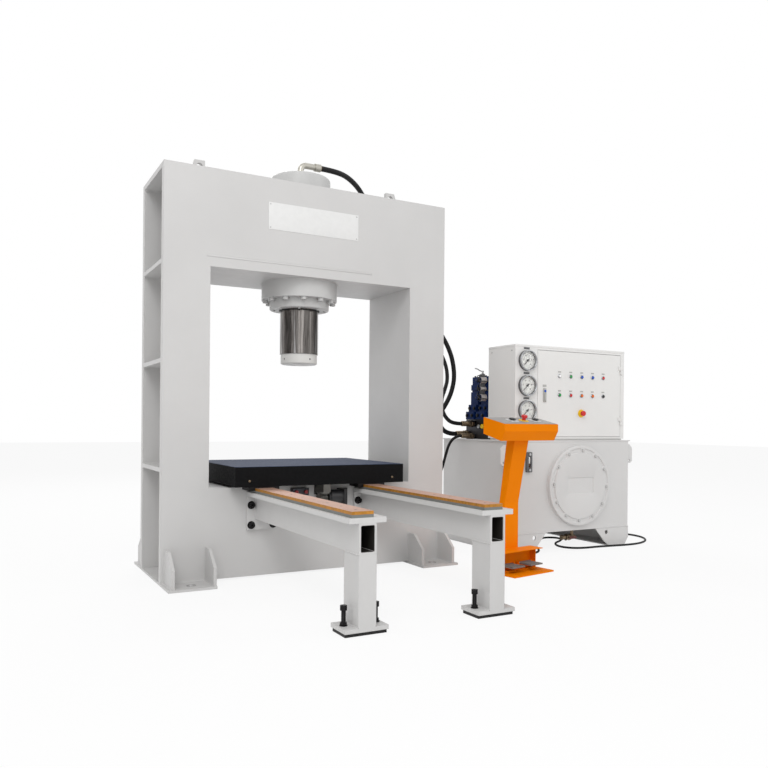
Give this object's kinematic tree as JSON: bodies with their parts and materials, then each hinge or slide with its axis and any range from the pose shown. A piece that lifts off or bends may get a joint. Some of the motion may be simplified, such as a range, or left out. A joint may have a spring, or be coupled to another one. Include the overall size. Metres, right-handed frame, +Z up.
{
  "type": "hydraulic press",
  "caption": "H-frame hydraulic press with sliding table on front rails, separate oil tank with electric cabinet, and an operator pedestal",
  "frame": {"origin": "on the floor, at the centre of the frame's four anchor holes, under the ram's axis", "axes": "+X to the right along the front, +Y from front to back, +Z up"},
  "size_m": [4.0244, 2.26, 2.697],
  "materials": {
    "frame_paint": "satin warm grey-white paint",
    "cylinder_paint": "satin grey-white paint over turned steel",
    "chrome_rod": "hard chrome, polished",
    "head_steel": "satin paint",
    "black_steel": "black oxide",
    "fitting_brass": "machined, passivated",
    "wear_bronze": "ground bronze",
    "pad_rubber": "moulded",
    "table_steel": "black sides, ground top",
    "gear_steel": "cut steel",
    "motor_black": "semi-gloss black paint",
    "tank_paint": "satin grey-white paint",
    "gauge_grey": "moulded",
    "handle_red": "dipped lever",
    "cabinet_paint": "fine texture powder coat",
    "gear_plastic": "moulded switchgear",
    "gauge_steel": "polished case, pale dial",
    "needle_black": "matt black",
    "bezel_chrome": "plated bezels and lenses",
    "button_blue": "moulded",
    "button_green": "moulded",
    "button_red": "moulded",
    "button_orange": "moulded",
    "button_black": "moulded",
    "valve_steel": "dark phosphated steel",
    "valve_blue": "blue enamel",
    "motor_blue": "blue enamel over cast ribs",
    "stand_orange": "orange powder coat",
    "pedal_black": "worn black tread",
    "hose_rubber": "smooth hose cover",
    "cable_rubber": "round sheath"
  },
  "bodies": {
    "root": {"frame_front_plate": "frame_paint", "frame_back_plate": "frame_paint", "crown_top_plate": "frame_paint", "crown_bottom_plate": "frame_paint", "frame_webs": "frame_paint", "bed_plate": "frame_paint", "frame_feet": "frame_paint", "rail_tubes": "frame_paint", "rail_top_plates": "frame_paint", "rail_legs": "frame_paint", "cylinder_barrel": "cylinder_paint", "cylinder_gland": "cylinder_paint", "painted_bolts": "cylinder_paint", "black_bolts": "black_steel", "cylinder_elbow": "fitting_brass", "drain_valve": "fitting_brass", "wear_strips": "wear_bronze", "leg_pads": "pad_rubber", "table_motor": "motor_black", "tank_shell": "tank_paint", "tank_feet": "tank_paint", "manhole_cover": "tank_paint", "level_gauge": "gauge_grey", "cabinet_shell": "cabinet_paint", "cabinet_gear": "gear_plastic", "gauge_cases": "gauge_steel", "valve_block": "valve_steel", "valve_stacks": "valve_blue", "pump_motor": "motor_blue", "stand": "stand_orange", "console": "stand_orange", "main_hose": "hose_rubber", "return_hose": "hose_rubber", "table_hose": "hose_rubber", "control_cable": "cable_rubber"},
    "ram_body": {"ram": "chrome_rod", "ram_head": "head_steel"},
    "table": {"table_plate": "table_steel", "table_shoes": "black_steel", "table_rack": "gear_steel"},
    "pinion": {"table_pinion": "gear_steel"},
    "door": {"cabinet_door": "cabinet_paint", "door_rings": "bezel_chrome"},
    "drain_lever": {"drain_handle": "handle_red"},
    "pedal_l": {"pedal_left": "pedal_black"},
    "pedal_r": {"pedal_right": "pedal_black"},
    "palm_l": {"palm_left": "button_black"},
    "palm_r": {"palm_right": "button_black"},
    "stand_stop": {"console_estop": "button_red"},
    "door_stop": {"door_estop": "button_red"},
    "gauge_top": {"needle_upper": "needle_black"},
    "gauge_mid": {"needle_middle": "needle_black"},
    "gauge_low": {"needle_lower": "needle_black"},
    "press_blue_left": {"button_blue_left": "button_blue"},
    "press_blue_right": {"button_blue_right": "button_blue"},
    "press_green": {"button_green": "button_green"},
    "press_red": {"button_red": "button_red"},
    "press_orange_left": {"button_orange_left": "button_orange"},
    "press_orange_right": {"button_orange_right": "button_orange"},
    "press_black": {"button_black": "button_black"}
  },
  "joints": [
    {"name": "ram_stroke", "type": "slide", "parent": "root", "child": "ram_body", "axis": [0, 0, -1], "range_m": [-0.13, 0.5]},
    {"name": "table_travel", "type": "slide", "parent": "root", "child": "table", "axis": [0, -1, 0], "range_m": [0, 0.75]},
    {"name": "pinion_spin", "type": "hinge", "parent": "root", "child": "pinion", "pos_m": [0.022, -0.35, 0.475], "axis": [1, 0, 0], "range_deg": [0, 1228]},
    {"name": "door_swing", "type": "hinge", "parent": "root", "child": "door", "pos_m": [2.6025, -0.357, 1.18], "axis": [0, 0, 1], "range_deg": [0, 110]},
    {"name": "blue_left_press", "type": "slide", "parent": "door", "child": "press_blue_left", "axis": [0, 1, 0], "range_m": [0, 0.003], "stiffness_N_per_m": 300, "springref_m": -0.002},
    {"name": "blue_right_press", "type": "slide", "parent": "door", "child": "press_blue_right", "axis": [0, 1, 0], "range_m": [0, 0.003], "stiffness_N_per_m": 300, "springref_m": -0.002},
    {"name": "green_press", "type": "slide", "parent": "door", "child": "press_green", "axis": [0, 1, 0], "range_m": [0, 0.003], "stiffness_N_per_m": 300, "springref_m": -0.002},
    {"name": "red_press", "type": "slide", "parent": "door", "child": "press_red", "axis": [0, 1, 0], "range_m": [0, 0.003], "stiffness_N_per_m": 300, "springref_m": -0.002},
    {"name": "orange_left_press", "type": "slide", "parent": "door", "child": "press_orange_left", "axis": [0, 1, 0], "range_m": [0, 0.003], "stiffness_N_per_m": 300, "springref_m": -0.002},
    {"name": "orange_right_press", "type": "slide", "parent": "door", "child": "press_orange_right", "axis": [0, 1, 0], "range_m": [0, 0.003], "stiffness_N_per_m": 300, "springref_m": -0.002},
    {"name": "black_press", "type": "slide", "parent": "door", "child": "press_black", "axis": [0, 1, 0], "range_m": [0, 0.003], "stiffness_N_per_m": 300, "springref_m": -0.002},
    {"name": "door_stop_press", "type": "slide", "parent": "door", "child": "door_stop", "axis": [0, 1, 0], "range_m": [0, 0.004], "stiffness_N_per_m": 500, "springref_m": -0.002},
    {"name": "gauge_top_turn", "type": "hinge", "parent": "root", "child": "gauge_top", "pos_m": [1.652, -0.365, 1.417], "axis": [0, 1, 0], "range_deg": [0, 270]},
    {"name": "gauge_mid_turn", "type": "hinge", "parent": "root", "child": "gauge_mid", "pos_m": [1.652, -0.365, 1.234], "axis": [0, 1, 0], "range_deg": [0, 270]},
    {"name": "gauge_low_turn", "type": "hinge", "parent": "root", "child": "gauge_low", "pos_m": [1.652, -0.365, 1.05], "axis": [0, 1, 0], "range_deg": [0, 270]},
    {"name": "drain_turn", "type": "hinge", "parent": "root", "child": "drain_lever", "pos_m": [2.11, -0.333, 0.085], "axis": [0, -1, 0], "range_deg": [0, 90]},
    {"name": "pedal_l_press", "type": "hinge", "parent": "root", "child": "pedal_l", "pos_m": [1.09331, -0.84731, 0.048], "axis": [0.9854, 0.1702, 0], "range_deg": [0, 8], "stiffness_Nm_per_rad": 20, "springref_deg": -10},
    {"name": "pedal_r_press", "type": "hinge", "parent": "root", "child": "pedal_r", "pos_m": [1.26083, -0.81838, 0.048], "axis": [0.9854, 0.1702, 0], "range_deg": [0, 8], "stiffness_Nm_per_rad": 20, "springref_deg": -10},
    {"name": "palm_l_press", "type": "slide", "parent": "root", "child": "palm_l", "axis": [-0.0387, 0.2239, -0.9738], "range_m": [0, 0.004], "stiffness_N_per_m": 500, "springref_m": -0.003},
    {"name": "palm_r_press", "type": "slide", "parent": "root", "child": "palm_r", "axis": [-0.0387, 0.2239, -0.9738], "range_m": [0, 0.004], "stiffness_N_per_m": 500, "springref_m": -0.003},
    {"name": "stand_stop_press", "type": "slide", "parent": "root", "child": "stand_stop", "axis": [-0.0387, 0.2239, -0.9738], "range_m": [0, 0.004], "stiffness_N_per_m": 500, "springref_m": -0.003}
  ],
  "couplings": [
    {"joint": "pinion_spin", "follows": "table_travel", "rad_per_m": 28.571}
  ]
}
